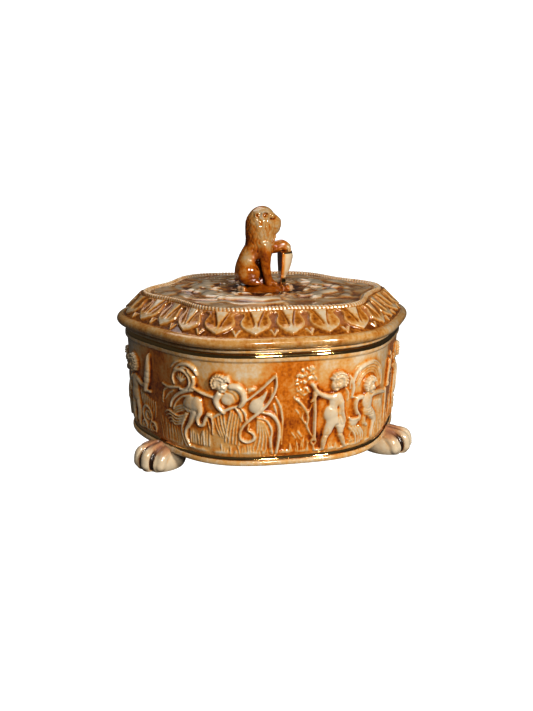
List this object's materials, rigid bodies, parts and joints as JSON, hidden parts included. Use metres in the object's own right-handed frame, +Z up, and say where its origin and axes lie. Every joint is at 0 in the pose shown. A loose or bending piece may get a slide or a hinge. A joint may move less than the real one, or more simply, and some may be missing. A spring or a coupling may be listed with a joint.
{
  "type": "lidded vanity trinket box",
  "caption": "Six-lobed glazed ceramic vanity box on lion-paw feet, with a lift-off lid whose handle is a seated lion resting a paw on a shield.",
  "frame": {"origin": "on the box's vertical axis, in the plane that its feet stand on", "axes": "+Z up, the way the lid lifts; +X through the middle of a lobe, the way the lion looks; +Y through a valley between two lobes and over the back foot"},
  "size_m": [0.15, 0.1505, 0.121],
  "materials": {
    "wall_glaze": "glossy cream glaze with an amber wash in the relief and gilt lines",
    "lid_glaze": "glossy cream glaze with an amber wash in the relief",
    "paw_glaze": "glossy cream glaze, dark brown between the toes",
    "lion_glaze": "high-gloss amber over cream",
    "plinth_glaze": "high-gloss burnt orange, pooled",
    "shield_glaze": "high-gloss cream front with gilt edge, dark red-brown back"
  },
  "bodies": {
    "base": {"box_bowl": "wall_glaze", "foot_back": "paw_glaze", "foot_front_left": "paw_glaze", "foot_front_right": "paw_glaze"},
    "lid": {"lid_shell": "lid_glaze", "finial_plinth": "plinth_glaze", "lion_body": "lion_glaze", "lion_raised_foreleg": "lion_glaze", "lion_shield": "shield_glaze"}
  },
  "joints": [
    {"name": "lid_lift", "type": "slide", "parent": "base", "child": "lid", "axis": [0, 0, 1], "range_m": [0, 0.07]}
  ]
}
